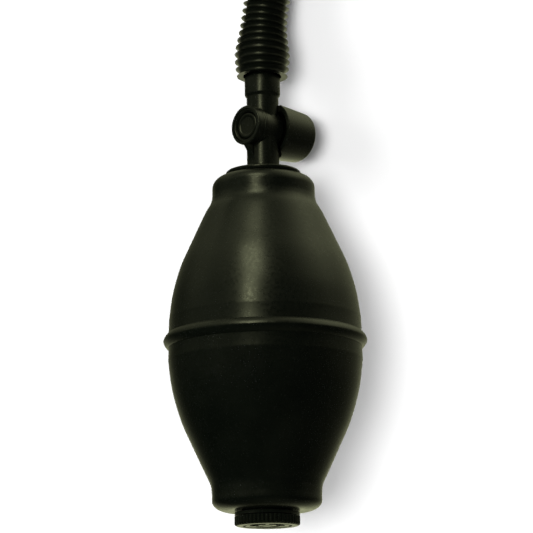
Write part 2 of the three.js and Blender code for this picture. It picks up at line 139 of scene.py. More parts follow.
def arc(centre, radius_r, radius_z, from_deg, to_deg, steps):
    corners = []
    for i in range(steps + 1):
        angle = math.radians(from_deg + (to_deg - from_deg) * i / steps)
        corners.append((centre[0] + radius_r * math.cos(angle), centre[1] + radius_z * math.sin(angle)))
    return corners


def rounded(corners, steps=4, closed=True):
    """An outline of (radius, height, fillet) corners with each fillet drawn as a short curve."""
    points = []
    count = len(corners)
    for i, corner in enumerate(corners):
        here = Vector(corner[:2])
        fillet = corner[2] if len(corner) > 2 else 0
        ends_open = not closed and i in (0, count - 1)
        if fillet <= 0 or ends_open:
            points.append(tuple(here))
            continue
        before = Vector(corners[i - 1][:2]) - here
        after = Vector(corners[(i + 1) % count][:2]) - here
        reach = min(fillet, FILLET_SHARE * before.length, FILLET_SHARE * after.length)
        start = here + before.normalized() * reach
        end = here + after.normalized() * reach
        for k in range(steps + 1):
            t = k / steps
            points.append(tuple(start * (1 - t) ** 2 + here * 2 * t * (1 - t) + end * t ** 2))
    return points


def turned(name, outline, matrix, sides=96, radius_change=None):
    """A closed outline of (radius, height) points turned round z. It may start and end on the axis."""
    on_axis = outline[0][0] < ON_AXIS and outline[-1][0] < ON_AXIS
    ring_points = outline[1:-1] if on_axis else outline
    verts, faces = [], []
    for j in range(sides):
        angle = 2 * math.pi * j / sides
        for i, (radius, height) in enumerate(ring_points):
            r = radius_change(i, radius, height, angle) if radius_change else radius
            verts.append(matrix @ Vector((r * math.cos(angle) * MM, r * math.sin(angle) * MM, height * MM)))
    rows = len(ring_points)
    last = rows - 1 if on_axis else rows
    for j in range(sides):
        k = (j + 1) % sides
        for i in range(last):
            n = (i + 1) % rows
            faces.append((j * rows + i, k * rows + i, k * rows + n, j * rows + n))
    if on_axis:
        low, high = len(verts), len(verts) + 1
        verts.append(matrix @ Vector((0, 0, outline[0][1] * MM)))
        verts.append(matrix @ Vector((0, 0, outline[-1][1] * MM)))
        for j in range(sides):
            k = (j + 1) % sides
            faces.append((low, k * rows, j * rows))
            faces.append((high, j * rows + rows - 1, k * rows + rows - 1))
    return face_out(link_mesh(name, verts, faces))


def prism(name, verts):
    """A closed block, from the corners of its two matching ends."""
    count = len(verts) // 2
    faces = [tuple(range(count)), tuple(range(2 * count - 1, count - 1, -1))]
    faces += [(i, (i + 1) % count, count + (i + 1) % count, count + i) for i in range(count)]
    return face_out(link_mesh(name, verts, faces))


def rod(name, radius, low, high, place, sides=64):
    return turned(name, [(0, low), (radius, low), (radius, high), (0, high)], place, sides)


def face_out(piece):
    """Turns the whole closed mesh's faces outwards."""
    work = bmesh.new()
    work.from_mesh(piece.data)
    bmesh.ops.recalc_face_normals(work, faces=work.faces)
    work.to_mesh(piece.data)
    work.free()
    return piece


def combine(piece, others, operation):
    """Joins or cuts closed meshes, and takes the others away."""
    for other in others:
        modifier = piece.modifiers.new("solid", "BOOLEAN")
        modifier.operation = operation
        modifier.solver = "EXACT"
        modifier.object = other
    bpy.context.view_layer.update()
    graph = bpy.context.evaluated_depsgraph_get()
    mesh = bpy.data.meshes.new_from_object(piece.evaluated_get(graph))
    piece.modifiers.clear()
    old = piece.data
    piece.data = mesh
    bpy.data.meshes.remove(old)
    for other in others:
        bpy.data.objects.remove(other)
    mesh.name = piece.name
    mesh.shade_smooth()
    mesh.set_sharp_from_angle(angle=SHARP_ANGLE)
    return piece


# ---- materials ----------------------------------------------------------------------------------
class Nodes:
    """Short names for building one material's node tree."""

    def __init__(self, name):
        self.material = bpy.data.materials.new(name)
        self.material.use_nodes = True
        self.tree = self.material.node_tree
        self.tree.nodes.clear()
        self.shader = self.add("ShaderNodeBsdfPrincipled")
        output = self.add("ShaderNodeOutputMaterial")
        self.join(self.shader.outputs[0], output.inputs["Surface"])
        coordinates = self.add("ShaderNodeTexCoord")
        self.place = coordinates.outputs["Object"]

    def add(self, kind, **settings):
        node = self.tree.nodes.new(kind)
        for key, value in settings.items():
            setattr(node, key, value)
        return node

    def join(self, output, target):
        self.tree.links.new(output, target)

    def noise(self, size_mm, detail=3.0, roughness=0.55):
        node = self.add("ShaderNodeTexNoise")
        node.inputs["Scale"].default_value = 1 / (size_mm * MM)
        node.inputs["Detail"].default_value = detail
        node.inputs["Roughness"].default_value = roughness
        self.join(self.place, node.inputs["Vector"])
        return node.outputs["Fac"]

    def spread(self, value, from_low, from_high, to_low, to_high):
        node = self.add("ShaderNodeMapRange")
        self.join(value, node.inputs["Value"])
        limits = {"From Min": from_low, "From Max": from_high, "To Min": to_low, "To Max": to_high}
        for key, number in limits.items():
            node.inputs[key].default_value = number
        return node.outputs["Result"]

    def mix(self, factor, colour_a, colour_b):
        node = self.add("ShaderNodeMix", data_type="RGBA")
        self.join(factor, node.inputs["Factor"])
        for socket, colour in ((node.inputs[6], colour_a), (node.inputs[7], colour_b)):
            if isinstance(colour, tuple):
                socket.default_value = (*colour, 1)
            else:
                self.join(colour, socket)
        return node.outputs[2]

    def bump(self, height, distance_mm, strength=1.0, below=None):
        node = self.add("ShaderNodeBump")
        node.inputs["Strength"].default_value = strength
        node.inputs["Distance"].default_value = distance_mm * MM
        self.join(height, node.inputs["Height"])
        if below is not None:
            self.join(below, node.inputs["Normal"])
        return node.outputs["Normal"]


CLOUD_MM = 9
DUST_SPECK_MM = 0.55
DUST_COVER = 0.5
MOTTLE_GRAINS = 3  # gloss varies over this many grains
GLOSS_SPREAD = (-0.05, 0.06)
CLOUD_DEPTH_MM = 0.10
CLOUD_BUMP = 0.25
GRAIN_BUMP = 0.6


def dusted(colour):
    return tuple(1.9 * c + 0.004 for c in colour)


def rubbed_pale(colour):
    return tuple(2.4 * c for c in colour)


def worn_black(name, dark, light, roughness, specular, grain_mm, grain_depth_mm, wear):
    """Black rubber or plastic: cloudy colour, uneven gloss, fine grain, rubbed edges and a little dust."""
    n = Nodes(name)
    clouds = n.noise(CLOUD_MM, 4)
    mottle = n.noise(grain_mm * MOTTLE_GRAINS, 3)
    grain = n.noise(grain_mm, 2, 0.6)
    base = n.mix(n.spread(clouds, 0.35, 0.65, 0, 1), dark, light)
    specks = n.spread(n.noise(DUST_SPECK_MM, 1, 0.4), 0.70, 0.78, 0, DUST_COVER)
    base = n.mix(specks, base, dusted(light))
    edges = n.add("ShaderNodeNewGeometry").outputs["Pointiness"]
    base = n.mix(n.spread(edges, 0.52, 0.60, 0, wear), base, rubbed_pale(light))
    n.join(base, n.shader.inputs["Base Color"])
    smoothest, roughest = (roughness + change for change in GLOSS_SPREAD)
    n.join(n.spread(mottle, 0.3, 0.7, smoothest, roughest), n.shader.inputs["Roughness"])
    n.shader.inputs["Specular IOR Level"].default_value = specular
    soft = n.bump(clouds, CLOUD_DEPTH_MM, CLOUD_BUMP)
    n.join(n.bump(grain, grain_depth_mm, GRAIN_BUMP, soft), n.shader.inputs["Normal"])
    return n.material


STEEL_LINE_MM = 0.12
STEEL_DARK = (0.48, 0.49, 0.50)
STEEL_LIGHT = (0.66, 0.67, 0.68)
FOAM_CELL_MM = 0.5
# Painted shade: the pores' colour is near-black and stands in for the shade inside the foam's open cells. The
# walls keep the foam's own colour.
FOAM_PORE_SHADE = (0.012, 0.013, 0.012)
FOAM_WALL = (0.06, 0.062, 0.058)


def spring_steel():
    n = Nodes("spring_steel")
    lines = n.noise(STEEL_LINE_MM, 2)
    colour = n.mix(n.spread(lines, 0.3, 0.7, 0, 1), STEEL_DARK, STEEL_LIGHT)
    n.join(colour, n.shader.inputs["Base Color"])
    n.shader.inputs["Metallic"].default_value = 1
    n.join(n.spread(lines, 0.3, 0.7, 0.22, 0.36), n.shader.inputs["Roughness"])
    n.join(n.bump(lines, 0.01, 0.4), n.shader.inputs["Normal"])
    return n.material


def filter_foam():
    n = Nodes("filter_foam")
    cells = n.add("ShaderNodeTexVoronoi")
    cells.inputs["Scale"].default_value = 1 / (FOAM_CELL_MM * MM)
    n.join(n.place, cells.inputs["Vector"])
    pores = cells.outputs["Distance"]
    # Painted shade: towards each cell's middle the colour goes near-black, as shade in the open pores.
    colour = n.mix(n.spread(pores, 0.1, 0.6, 0, 1), FOAM_PORE_SHADE, FOAM_WALL)
    n.join(colour, n.shader.inputs["Base Color"])
    n.shader.inputs["Roughness"].default_value = 0.95
    n.join(n.bump(pores, 0.25, 0.8), n.shader.inputs["Normal"])
    return n.material


# Slot, dark and light colour, roughness, specular level, grain across, grain depth, wear on edges.
BLACKS = [
    ("bulb_rubber", (0.0013, 0.0020, 0.0012), (0.0020, 0.0028, 0.0017), 0.30, 0.5, 0.30, 0.012, 0.0),
    ("black_plastic", (0.0015, 0.0021, 0.0012), (0.0022, 0.0029, 0.0018), 0.30, 0.5, 0.18, 0.006, 0.25),
    ("hose_vinyl", (0.0014, 0.0021, 0.0012), (0.0021, 0.0028, 0.0017), 0.34, 0.5, 0.22, 0.008, 0.25),
    ("valve_rubber", (0.0018, 0.0020, 0.0016), (0.0030, 0.0032, 0.0028), 0.5, 0.4, 0.15, 0.008, 0.1),
]
BY_SLOT = {row[0]: worn_black(*row) for row in BLACKS}
BY_SLOT["spring_steel"] = spring_steel()
BY_SLOT["filter_foam"] = filter_foam()


def dress(piece, slot_name):
    piece.data.materials.clear()
    piece.data.materials.append(BY_SLOT[slot_name])


def dress_cad_nodes():
    for entry in frame["record"]["subparts"]:
        node = frame["nodes"][entry["node"]]
        node.data.materials.clear()
        node.data.materials.append(BY_SLOT[entry["material_slot"]])


dress_cad_nodes()

# ---- hose -----------------------------------------------------------------------------------------
HOSE_START = 78.1
HOSE_CREST_R = 6.75
HOSE_RIDGE_DEPTH = 1.15
HOSE_PITCH = 2.14
HOSE_BORE_R = 5.25
HOSE_SIDES = 44
HOSE_ROWS_PER_RIDGE = 10
HOSE_SHARP_ANGLE = math.radians(50)
INNER_ROW_EVERY = 2 * HOSE_ROWS_PER_RIDGE
VALLEY_ROUNDNESS = 0.5  # below 1 the valleys are wide and the fins thin
FIN_CROWDING = 0.125
BARB_SWELL = 1.3  # how far the barb inside stretches the hose's end
BARB_SWELL_AT = 6.0
BARB_SWELL_FADE = 6.0
BORE_SWELL_SHARE = 0.5
END_FLARE = 0.62
LOOP_R_M = 0.069
LOOP_CENTRE_M = (-0.051, 0.188)
LOOP_TURN = 1.5 * math.pi
LOOP_STEPS = 12
HOSE_END_RUN_M = 0.007
HOSE_FLOOR_M = 0.00695  # height of the hose's middle where it lies on the floor
CURVE_STEPS_PER_SPAN = 24
PATH_STEPS = 160


def hose_points():
    """The route's points in metres, measured on the floor from below the bead's middle."""
    start = PUMP @ Vector((0, 0, HOSE_START * MM))
    from_bead = start.y - BEAD_POINT.y
    points = [
        (start.x, from_bead, start.z),
        (0.00012, from_bead + 0.007, start.z - 0.0015),
        (0.00062, 0.0915, 0.00875),
        (0.00175, 0.0995, 0.0075),
        (0.0033, 0.1085, 0.0070),
        (0.0057, 0.120, HOSE_FLOOR_M),
        (0.0091, 0.135, HOSE_FLOOR_M),
        (0.0131, 0.153, HOSE_FLOOR_M),
        (0.0164, 0.170, HOSE_FLOOR_M),
    ]
    for i in range(LOOP_STEPS + 1):
        angle = LOOP_TURN * i / LOOP_STEPS
        x = LOOP_CENTRE_M[0] + LOOP_R_M * math.cos(angle)
        y = LOOP_CENTRE_M[1] + LOOP_R_M * math.sin(angle)
        points.append((x, y, HOSE_FLOOR_M))
    points.append((LOOP_CENTRE_M[0] + HOSE_END_RUN_M, LOOP_CENTRE_M[1] - LOOP_R_M, HOSE_FLOOR_M))
    return [Vector((x, y + BEAD_POINT.y, z)) for x, y, z in points]


def centripetal(points, per_span):
    """A smooth curve through all the points (centripetal Catmull-Rom)."""
    ends = [points[0] * 2 - points[1], *points, points[-1] * 2 - points[-2]]
    curve = []
    for i in range(1, len(ends) - 2):
        p = ends[i - 1:i + 3]
        t = [0.0]
        for a, b in zip(p, p[1:]):
            t.append(t[-1] + max((b - a).length, 1e-9) ** 0.5)
        for k in range(per_span):
            u = t[1] + (t[2] - t[1]) * k / per_span
            a1 = p[0] * ((t[1] - u) / (t[1] - t[0])) + p[1] * ((u - t[0]) / (t[1] - t[0]))
            a2 = p[1] * ((t[2] - u) / (t[2] - t[1])) + p[2] * ((u - t[1]) / (t[2] - t[1]))
            a3 = p[2] * ((t[3] - u) / (t[3] - t[2])) + p[3] * ((u - t[2]) / (t[3] - t[2]))
            b1 = a1 * ((t[2] - u) / (t[2] - t[0])) + a2 * ((u - t[0]) / (t[2] - t[0]))
            b2 = a2 * ((t[3] - u) / (t[3] - t[1])) + a3 * ((u - t[1]) / (t[3] - t[1]))
            curve.append(b1 * ((t[2] - u) / (t[2] - t[1])) + b2 * ((u - t[1]) / (t[2] - t[1])))
    curve.append(ends[-2])
    return curve


def evenly(curve, count):
    """count + 1 points spaced evenly along the curve, and its length."""
    steps = [(b - a).length for a, b in zip(curve, curve[1:])]
    reached = np.concatenate([[0], np.cumsum(steps)])
    wanted = np.linspace(0, reached[-1], count + 1)
    table = np.array([tuple(p) for p in curve])
    places = np.stack([np.interp(wanted, reached, table[:, k]) for k in range(3)], axis=1)
    return [Vector(p) for p in places], float(reached[-1])


def hose_radius(run_mm):
    """Outer radius at a distance from the hose's cut end, and how much of it is swelling over the barb."""
    valley = abs(math.sin(math.pi * run_mm / HOSE_PITCH)) ** VALLEY_ROUNDNESS
    bulge = BARB_SWELL * math.exp(-((run_mm - BARB_SWELL_AT) / BARB_SWELL_FADE) ** 2)
    if run_mm < BARB_SWELL_AT:
        bulge = END_FLARE + (BARB_SWELL - END_FLARE) * math.sin(0.5 * math.pi * run_mm / BARB_SWELL_AT)
    return HOSE_CREST_R + bulge - HOSE_RIDGE_DEPTH * valley, bulge


def crowded(row):
    """Where a row lies, in rows, once the rows crowd towards the fins."""
    shift = FIN_CROWDING * HOSE_ROWS_PER_RIDGE * math.sin(2 * math.pi * row / HOSE_ROWS_PER_RIDGE)
    return row - shift


def crowd_fins(centres):
    """The same middle line, with its points closer together at the fins."""
    moved = []
    for i in range(len(centres)):
        at = max(0, min(len(centres) - 1.000001, crowded(i)))
        k = min(int(at), len(centres) - 2)
        moved.append(centres[k].lerp(centres[k + 1], at - k))
    return moved


def ring_round(centre, side, up, radius_mm):
    ring = []
    for k in range(HOSE_SIDES):
        angle = 2 * math.pi * k / HOSE_SIDES
        ring.append(centre + (side * math.cos(angle) + up * math.sin(angle)) * radius_mm * MM)
    return ring


def add_hose():
    curve = centripetal(hose_points(), CURVE_STEPS_PER_SPAN)
    path, length_m = evenly(curve, PATH_STEPS)
    ridges = int(length_m / MM / HOSE_PITCH)
    rows = ridges * HOSE_ROWS_PER_RIDGE
    centres = crowd_fins(evenly(curve, rows)[0])
    heading = (centres[1] - centres[0]).normalized()
    side = Vector((1, 0, 0))
    side = (side - heading * side.dot(heading)).normalized()
    verts, faces = [], []
    outer_rows, inner_rows = [], []
    for i, centre in enumerate(centres):
        ahead = centres[min(i + 1, rows)] - centres[max(i - 1, 0)]
        ahead.normalize()
        side = (side - ahead * side.dot(ahead)).normalized()
        up = ahead.cross(side)
        radius, bulge = hose_radius(crowded(i) / HOSE_ROWS_PER_RIDGE * HOSE_PITCH)
        outer_rows.append(len(verts))
        verts += ring_round(centre, side, up, radius)
        if i % INNER_ROW_EVERY == 0 or i == rows:
            inner_rows.append(len(verts))
            verts += ring_round(centre, side, up, HOSE_BORE_R + BORE_SWELL_SHARE * bulge)
    for rings in (outer_rows, inner_rows[::-1]):
        for a, b in zip(rings, rings[1:]):
            for k in range(HOSE_SIDES):
                n = (k + 1) % HOSE_SIDES
                faces.append((a + k, a + n, b + n, b + k))
    for end, flip in ((0, 1), (-1, -1)):
        outer, inner = outer_rows[end], inner_rows[end]
        for k in range(HOSE_SIDES):
            n = (k + 1) % HOSE_SIDES
            faces.append((outer + k, inner + k, inner + n, outer + n)[::flip])
    hose = face_out(link_mesh("hose", verts, faces, HOSE_SHARP_ANGLE))
    dress(hose, "hose_vinyl")
    return hose, path, length_m


hose, hose_path, hose_length_m = add_hose()
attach(hose, "root")
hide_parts("hose_tube")


# ---- connector on the hose's far end ---------------------------------------------------------------
GRIP_RIBS = 24
GRIP_RIB_DEPTH = 0.45
GRIP_FROM, GRIP_TO = 10.2, 18.2
GRIP_OVER_R = 6.5
GRIP_STEPS = 10
GRIP_SIDES = 240


def connector_matrix():
    low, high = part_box("hose_connector")
    middle = (low + high) / 2
    start = Vector((low.x, middle.y, middle.z))
    return axes_matrix(Vector((0, 0, -1)), Vector((0, 1, 0)), Vector((1, 0, 0)), start)


def add_connector():
    """A barb inside the hose, a grooved grip, and a tapered nose with an O-ring."""
    place = connector_matrix()
    corners = [
        (1.6, 0), (2.6, 0), (4.1, 1.8), (3.4, 2.0), (3.4, 4.0), (4.1, 5.8), (3.4, 6.0), (3.4, 8.3),
        (6.45, 8.3, 0.3), (6.7, 9.0, 0.3), (6.7, 19.0, 0.5), (6.2, 20.4, 0.6), (4.4, 22.0, 0.8),
        (4.4, 28.0, 0.15), (3.55, 28.0, 0.1), (3.55, 30.0, 0.1), (4.4, 30.0, 0.15), (4.2, 35.0, 0.3),
        (3.3, 41.0, 0.3), (1.6, 41.0, 0.2),
    ]
    outline = rounded(corners, 4)

    def grip(_, radius, height, angle):
        if not (GRIP_FROM < height < GRIP_TO and radius > GRIP_OVER_R):
            return radius
        return radius - GRIP_RIB_DEPTH * (0.5 - 0.5 * math.cos(GRIP_RIBS * angle)) ** 2

    fine = []
    for (r0, z0), (r1, z1) in zip(outline, outline[1:] + outline[:1]):
        fine.append((r0, z0))
        along_grip = min(r0, r1) > GRIP_OVER_R and min(z0, z1) < GRIP_FROM and max(z0, z1) > GRIP_TO
        if along_grip:
            fine += [(r0, z0 + (z1 - z0) * k / GRIP_STEPS) for k in range(1, GRIP_STEPS)]
    connector = turned("connector", fine, place, GRIP_SIDES, grip)
    dress(connector, "black_plastic")
    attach(connector, "root")
    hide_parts("hose_connector")
    ring = turned("connector_ring", arc((4.3, 29.0), 0.78, 0.78, 0, 345, 23), place, 96)
    dress(ring, "valve_rubber")
    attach(ring, "root")
    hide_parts("connector_o_ring")
    return [connector, ring]


connector_pieces = add_connector()
tuple(hose_path[0])
[tuple(p) for p in hose_path]

# ---- squeeze bulb -------------------------------------------------------------------------------
BULB_TOP = 47.7
BULB_BOTTOM = -48.4
BULB_WALL = 2.4
BULB_END_WALL = 4.0
MOUTH_R = 7.5
BEAD_R = 28.95
BEAD_PROUD = 1.5
BEAD_HALF_WIDTH = 2.1
BEAD_MIDDLE = -0.1
NECK_TOP_CORNER_R = 3.35
NECK_BOTTOM_CORNER_R = 2.9
NECK_BOTTOM_CORNER_WIDTH = 4.8
NECK_TOP_R = 14.75
NECK_BOTTOM_R = 15.45
UPPER_FLANK = [
    (14.75, 43.2), (14.82, 41.6), (15.35, 39.7), (17.1, 36.6),
    (20.6, 29.0), (23.9, 21.6), (26.2, 13.6), (27.3, 6.0),
]
LOWER_FLANK = [
    (27.6, -5.6), (26.45, -14.0), (23.95, -22.8), (20.8, -30.0),
    (17.2, -37.8), (15.8, -40.9), (15.47, -43.4), (15.45, -45.0),
]
FLANK_STEPS = 60
BEAD_STEPS = 16
END_FACE_STEPS = 6
BULB_COLUMNS = 96
BULB_SHARP_ANGLE = math.radians(60)


def spline(points, steps):
    """Uniform Catmull-Rom through (radius, height) points, ends held."""
    p = [Vector(points[0]), *map(Vector, points), Vector(points[-1])]
    curve = []
    spans = len(points) - 1
    for i in range(steps + 1):
        at = min(i / steps * spans, spans - 1e-9)
        k = int(at)
        t = at - k
        a, b, c, d = p[k], p[k + 1], p[k + 2], p[k + 3]
        squared = (2 * a - 5 * b + 4 * c - d) * t ** 2
        cubed = (3 * b - a - 3 * c + d) * t ** 3
        curve.append(tuple(0.5 * (2 * b + (c - a) * t + squared + cubed)))
    return curve


def bead_point(at):
    """A slim ridge, blunt at its crest; at runs from -1 below it to 1 above it."""
    height = (1 - abs(at) ** 1.6) ** 0.8
    return BEAD_R - BEAD_PROUD * (1 - height), BEAD_MIDDLE + BEAD_HALF_WIDTH * at


def bulb_outer():
    """(radius, height) from the lower mouth to the upper one, and the same without the bead."""
    low_r, top_r = NECK_BOTTOM_R - NECK_BOTTOM_CORNER_WIDTH, NECK_TOP_R - NECK_TOP_CORNER_R
    low_centre = (low_r, BULB_BOTTOM + NECK_BOTTOM_CORNER_R)
    top_centre = (top_r, BULB_TOP - NECK_TOP_CORNER_R)
    flat = [(MOUTH_R + k * (low_r - MOUTH_R) / END_FACE_STEPS, BULB_BOTTOM) for k in range(END_FACE_STEPS)]
    lower_corner = arc(low_centre, NECK_BOTTOM_CORNER_WIDTH, NECK_BOTTOM_CORNER_R, -90, 0, 16)
    lower = spline(LOWER_FLANK, FLANK_STEPS)[::-1]
    bead = [bead_point(k / BEAD_STEPS) for k in range(-BEAD_STEPS, BEAD_STEPS + 1)]
    upper = spline(UPPER_FLANK, FLANK_STEPS)[::-1]
    upper_corner = arc(top_centre, NECK_TOP_CORNER_R, NECK_TOP_CORNER_R, 0, 90, 14)
    top = [(MOUTH_R + k * (top_r - MOUTH_R) / END_FACE_STEPS, BULB_TOP) for k in range(END_FACE_STEPS)][::-1]
    under_bead = [(BEAD_R - BEAD_PROUD, z) for _, z in bead]
    parts = [flat, lower_corner, lower, bead, upper, upper_corner, top]
    plain = [flat, lower_corner, lower, under_bead, upper, upper_corner, top]
    return sum(parts, []), sum(plain, [])


def bulb_inner(plain):
    """The inside, a wall's thickness in from the outline without the bead."""
    lowest, highest = BULB_BOTTOM + BULB_END_WALL, BULB_TOP - BULB_END_WALL
    points = []
    for i, (radius, height) in enumerate(plain):
        before, after = plain[max(i - 1, 0)], plain[min(i + 1, len(plain) - 1)]
        way = Vector((after[0] - before[0], after[1] - before[1])).normalized()
        r = max(MOUTH_R, radius - way.y * BULB_WALL)
        z = max(lowest, min(highest, height + way.x * BULB_WALL))
        points.append((r, z))
    return points


def add_bulb_half(name, side, node):
    outer, plain = bulb_outer()
    inner = bulb_inner(plain)
    count = len(outer)
    verts, faces = [], []
    for j in range(BULB_COLUMNS + 1):
        angle = math.pi * (j / BULB_COLUMNS - 0.5)
        for radius, height in outer + inner:
            x, y = side * radius * math.cos(angle), radius * math.sin(angle)
            verts.append(PUMP @ Vector((x * MM, y * MM, height * MM)))
    width = 2 * count
    for j in range(BULB_COLUMNS):
        a, b = j * width, (j + 1) * width
        for i in range(count - 1):
            faces.append((a + i, b + i, b + i + 1, a + i + 1))
            faces.append((a + count + i, a + count + i + 1, b + count + i + 1, b + count + i))
        faces.append((a, a + count, b + count, b))
        faces.append((a + count - 1, b + count - 1, b + 2 * count - 1, a + 2 * count - 1))
    for base in (0, BULB_COLUMNS * width):
        for i in range(count - 1):
            faces.append((base + i, base + i + 1, base + count + i + 1, base + count + i))
    half = face_out(link_mesh(name, verts, faces, BULB_SHARP_ANGLE))
    smooth_across_seam(half, outer)
    dress(half, "bulb_rubber")
    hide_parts(node)
    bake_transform(half)
    return half


def smooth_across_seam(half, outer):
    """Gives the outside its true normals, so that the two halves shade as one moulding."""
    count = len(outer)
    slopes = []
    for i in range(count):
        before, after = outer[max(i - 1, 0)], outer[min(i + 1, count - 1)]
        way = Vector((after[0] - before[0], after[1] - before[1])).normalized()
        slopes.append((way.y, -way.x))
    turn = PUMP.to_3x3()
    mesh = half.data
    normals = [Vector(n.vector) for n in mesh.corner_normals]
    inverse = PUMP.inverted()
    for polygon in mesh.polygons:
        on_outside = all(v % (2 * count) < count for v in polygon.vertices)
        if not on_outside:
            continue
        for loop in polygon.loop_indices:
            vertex = mesh.loops[loop].vertex_index
            place = inverse @ mesh.vertices[vertex].co
            outwards = Vector((place.x, place.y, 0)).normalized()
            slope = slopes[vertex % (2 * count)]
            normals[loop] = turn @ Vector((outwards.x * slope[0], outwards.y * slope[0], slope[1]))
    mesh.normals_split_custom_set([tuple(n) for n in normals])


add_bulb_half("bulb_right", 1, "bulb_wall_right")
add_bulb_half("bulb_left", -1, "bulb_wall_left")


# ---- hose flange and tee --------------------------------------------------------------------------
PLUG_SIDES = 120
TEE_SIDES = 96
BARBS = 3
BARB_PITCH = 3.87
WEB_HALF_WIDTH = 1.0
BARREL_TURN = math.radians(45)


def add_flange():
    corners = [
        (2.2, 41.8), (5.2, 41.8, 0.2), (5.2, 37.0, 0.2), (6.6, 37.0, 0.3), (6.6, 40.9, 0.3), (8.6, 42.3, 0.3),
        (8.6, 43.4, 0.2), (7.2, 43.4, 0.1), (7.2, 48.0, 0.1), (9.7, 48.0, 0.2), (10.5, 48.3, 0.3),
        (10.8, 48.7, 0.2), (10.8, 49.1, 0.3), (10.4, 49.45, 0.3), (6.2, 49.45, 0.5), (5.3, 49.6, 0.3),
        (3.7, 49.6, 0.2), (3.7, 43.1), (2.2, 43.1),
    ]
    flange = turned("flange", rounded(corners), PUMP, PLUG_SIDES)
    dress(flange, "black_plastic")
    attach(flange, "root")
    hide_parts("hose_flange")


def stem_outline():
    barbs = []
    for k in range(BARBS):
        start = HOSE_START + 2 + BARB_PITCH * k
        barbs += [(3.7, start, 0.1), (4.75, start + 0.6, 0.15), (3.8, start + 3.67, 0.1)]
    return rounded([
        (0, 43.5), (3.1, 43.5, 0.2), (3.4, 43.9, 0.2), (3.4, 45.25), (2.4, 45.25), (2.4, 46.75), (3.4, 46.75),
        (3.4, 49.75), (4.95, 49.75, 0.15), (4.95, 50.1, 0.3), (4.65, 50.8, 0.5), (4.65, 62.7, 0.2),
        (4.6, 66.0, 0.2), (4.6, 71.8, 0.4), (5.13, 72.3, 0.3), (5.13, 77.6, 0.15), (3.7, 77.6, 0.1),
        *barbs, (3.1, 91.5, 0.2), (0, 91.5),
    ], 4, closed=False)


def web_piece():
    """The small web under the barrel's front end."""
    flat = [
        (0, -10), (-4.5, -10), (-5.0, -8.2), (-5.7, -7.0),
        (-6.7, -5.8), (-6.85, -5.4), (-6.85, -2), (0, -2),
    ]
    turn = PUMP @ Matrix.Rotation(BARREL_TURN, 4, "Z")
    verts = []
    for y in (-WEB_HALF_WIDTH, WEB_HALF_WIDTH):
        verts += [turn @ Vector((x * MM, y * MM, (BARREL_HEIGHT + z) * MM)) for x, z in flat]
    return prism("web", verts)


def barrel_outline():
    return rounded([
        (0, -7.2), (5.5, -7.2, 0.12), (5.75, -6.95, 0.2), (5.75, -5.2, 0.15), (5.4, -4.95, 0.12),
        (5.4, -4.6, 0.12), (5.7, -4.35, 0.15), (5.7, -3.6, 0.2), (5.45, -3.3, 0.15), (5.5, 3.0, 0.25),
        (4.7, 3.0, 0.2), (4.7, 8.7, 0.3), (4.3, 9.0, 0.1), (0, 9.0),
    ], 4, closed=False)


def add_tee():
    tee = turned("tee", stem_outline(), PUMP, TEE_SIDES)
    combine(tee, [turned("barrel", barrel_outline(), BARREL, TEE_SIDES), web_piece()], "UNION")
    bores = [
        rod("airway", 2.0, 40, 95, PUMP),
        rod("bore", 2.6, -6, 11, BARREL),
        rod("counterbore", 4.9, -9, -3.6, BARREL),
    ]
    combine(tee, bores, "DIFFERENCE")
    dress(tee, "black_plastic")
    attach(tee, "root")
    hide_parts("tee_body")


add_flange()
add_tee()


# ---- release valve --------------------------------------------------------------------------------
NOTCH_R = 4.8
NOTCH_REACH = 12
PRESS_STROKE = 0.8
BUTTON_SIDES = 160


def stem_notch():
    """Room for the stem in the button's skirt: a slot along the pump's axis with a round bottom."""
    edge = [(-NOTCH_R, -6.0), (NOTCH_R, -6.0)]
    for degrees in range(0, 181, 6):
        a = math.radians(degrees)
        edge.append((NOTCH_R * math.cos(a), PRESS_STROKE + NOTCH_R * math.sin(a)))
    verts = []
    for along in (-NOTCH_REACH, NOTCH_REACH):
        verts += [BARREL @ Vector((along * MM, across * MM, out * MM)) for across, out in edge]
    return prism("notch", verts)


def add_release_valve():
    ring = turned("seat_ring", rounded([
        (2.6, -4.6, 0.2), (3.95, -4.6, 0.2), (3.95, -6.3, 0.2), (4.4, -6.95, 0.15), (4.75, -6.95, 0.1),
        (4.75, -3.9, 0.1), (2.6, -3.9),
    ]), BARREL, TEE_SIDES)
    poppet = turned("poppet", rounded([
        (0, -6.2), (2.6, -6.2, 0.4), (3.05, -6.55, 0.2), (3.55, -6.5, 0.15), (3.75, -6.25, 0.15),
        (3.75, -5.7, 0.1), (0, -5.7),
    ], 4, closed=False), BARREL, TEE_SIDES)
    button = turned("button", rounded([
        (0, 13.7), (1.5, 13.7), (1.5, 12.1, 0.1), (2.3, 12.1, 0.1), (2.3, 13.7, 0.2), (5.1, 13.7, 0.4),
        (5.1, 9.0, 0.3), (6.9, 2.7, 0.15), (8.1, 2.7, 0.1), (8.2, 2.85, 0.1), (7.3, 14.4, 0.5),
        (6.7, 15.05, 0.5), (5.6, 15.1, 0.3), (4.8, 14.85, 0.6), (0, 14.75),
    ], 4, closed=False), BARREL, BUTTON_SIDES)
    combine(button, [stem_notch()], "DIFFERENCE")
    for piece, body, node in (
        (ring, "root", "release_seat_ring"),
        (poppet, "release", "release_poppet"),
        (button, "release", "release_button"),
    ):
        dress(piece, "black_plastic")
        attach(piece, body)
        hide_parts(node)


SPRING_R = 3.7
SPRING_WIRE_R = 0.35
SPRING_TURNS = 4
SPRING_LOW = 9.45
SPRING_HIGH = 13.25
SPRING_STEPS_PER_TURN = 28
SPRING_WIRE_SIDES = 10
SPRING_FLAT_SHARE = 0.16  # of the wire, at each end
SPRING_FLAT_RISE = 0.1  # share of the height that all of the wire climbs at one slope


